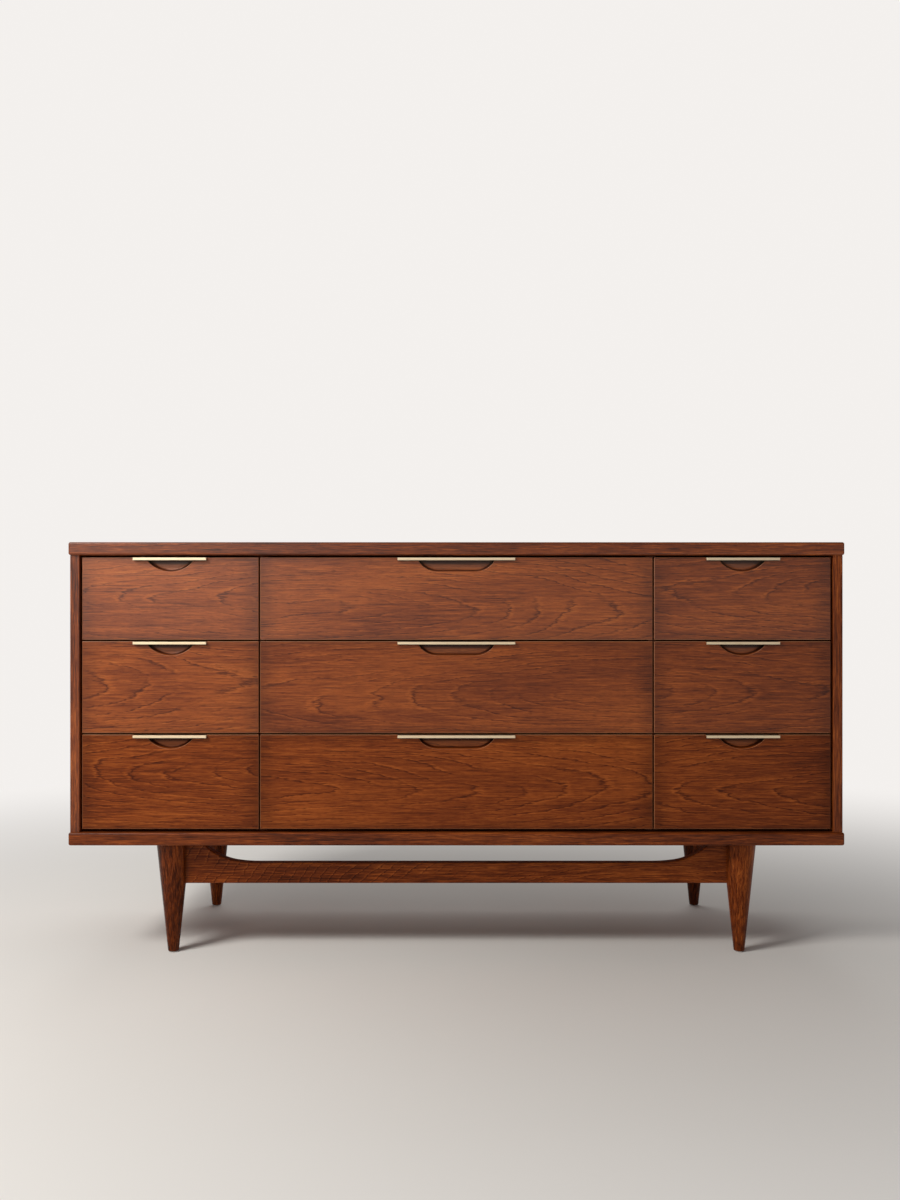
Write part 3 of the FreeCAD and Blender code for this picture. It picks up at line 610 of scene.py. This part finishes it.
# ---- studio and camera ----
# lengths in metres; the floor fades into the backdrop between two distances from the dresser's middle
FLOOR_REACH = 30.0
FLOOR_TONES = ((0.76, 0.745, 0.725), (0.82, 0.805, 0.785))
FLOOR_RELIEF = 0.0002
FADE = (0.3, 3.0)
BACKDROP = (1.0, 0.97, 0.945)
BACKDROP_GLOW = 0.90
SURROUND = 0.11
FRONT_TO_CAMERA = 1.912
CAMERA_ASIDE = -0.0126
CAMERA_HEIGHT = 0.5916
# the lens and the sensor's width in millimetres, and how far the frame is shifted as a share of its height
FOCAL_LENGTH = 29.25
SENSOR_WIDTH = 36.0
HORIZON_DROP = 0.04717


def studio_floor():
    """A plain pale floor, faintly mottled, that fades into the backdrop far from the dresser."""
    look = Shader("pale_floor")
    mottle = look.noise((1.3, 1.3, 1.3), 4.0, 4.0)
    base = look.mix(mottle, *FLOOR_TONES)
    bump = look.node("ShaderNodeBump", {}, {"Strength": 1.0, "Distance": FLOOR_RELIEF, "Height": mottle})
    near = look.node("ShaderNodeBsdfDiffuse", {}, {"Color": base, "Normal": bump})
    glow = {"Color": (*BACKDROP, 1.0), "Strength": BACKDROP_GLOW}
    far = look.node("ShaderNodeEmission", {}, glow)
    away = look.node("ShaderNodeVectorMath", {"operation": "LENGTH"}, {0: look.place}, "Value")
    faded = look.step(away, *FADE)
    both = look.node("ShaderNodeMixShader", {}, {0: faded, 1: near, 2: far})
    look.node("ShaderNodeOutputMaterial", {}, {"Surface": both})
    corners = [(x * FLOOR_REACH, y * FLOOR_REACH, 0) for x, y in ((-1, -1), (1, -1), (1, 1), (-1, 1))]
    data = bpy.data.meshes.new("studio_floor")
    data.from_pydata(corners, [], [(0, 1, 2, 3)])
    data.materials.append(look.material)
    floor = bpy.data.objects.new("studio_floor", data)
    bpy.context.scene.collection.objects.link(floor)


def soft_light(name, place, target, width, height, power, tint):
    """A rectangular soft box that faces a target."""
    data = bpy.data.lights.new(name, "AREA")
    data.shape = "RECTANGLE"
    data.size = width
    data.size_y = height
    data.energy = power
    data.color = tint
    lamp = bpy.data.objects.new(name, data)
    lamp.location = place
    direction = Vector(target) - Vector(place)
    lamp.rotation_euler = direction.to_track_quat("-Z", "Y").to_euler()
    bpy.context.scene.collection.objects.link(lamp)


def studio_light():
    """A dim even surround with a near-white backdrop, and four soft boxes.

    The key and the window stand at the front left, one hangs behind, and a weak bounce is at the front right.
    """
    world = bpy.data.worlds.new("studio")
    world.use_nodes = True
    tree = world.node_tree
    sky = tree.nodes["Background"]
    sky.inputs["Color"].default_value = (*BACKDROP, 1.0)
    path = tree.nodes.new("ShaderNodeLightPath")
    seen = tree.nodes.new("ShaderNodeMix")
    seen.inputs[2].default_value = SURROUND
    seen.inputs[3].default_value = BACKDROP_GLOW
    tree.links.new(path.outputs["Is Camera Ray"], seen.inputs[0])
    tree.links.new(seen.outputs[0], sky.inputs["Strength"])
    bpy.context.scene.world = world
    soft_light("key", (-1.75, -1.5, 2.05), (-0.3, -0.2, 0.45), 0.8, 0.8, 56.0, (1.0, 0.97, 0.92))
    soft_light("window", (-1.35, -2.7, 1.4), (-0.55, -0.2, 0.75), 1.2, 0.9, 11.5, (1.0, 0.97, 0.90))
    soft_light("behind", (0.0, 2.0, 2.3), (0.0, 1.25, 0.0), 3.2, 1.6, 26.0, (1.0, 0.98, 0.95))
    soft_light("bounce", (0.9, -3.2, 0.9), (0.2, -0.2, 0.5), 2.6, 1.2, 3.2, (1.0, 0.96, 0.90))


def camera():
    """A level camera square to the front, a little left of the middle, framed low."""
    data = bpy.data.cameras.new("camera")
    data.lens = FOCAL_LENGTH
    data.sensor_width = SENSOR_WIDTH
    data.shift_y = HORIZON_DROP
    eye = bpy.data.objects.new("camera", data)
    eye.location = (CAMERA_ASIDE, CAD_BOX[0].y - FRONT_TO_CAMERA, CAMERA_HEIGHT)
    eye.rotation_euler = (math.radians(90.0), 0.0, 0.0)
    bpy.context.scene.collection.objects.link(eye)
    bpy.context.scene.camera = eye


camera()
studio_light()
studio_floor()
dress_case()
dress_legs()
dress_drawers()
fit_screws()

bpy.context.scene.view_settings.view_transform = "Standard"
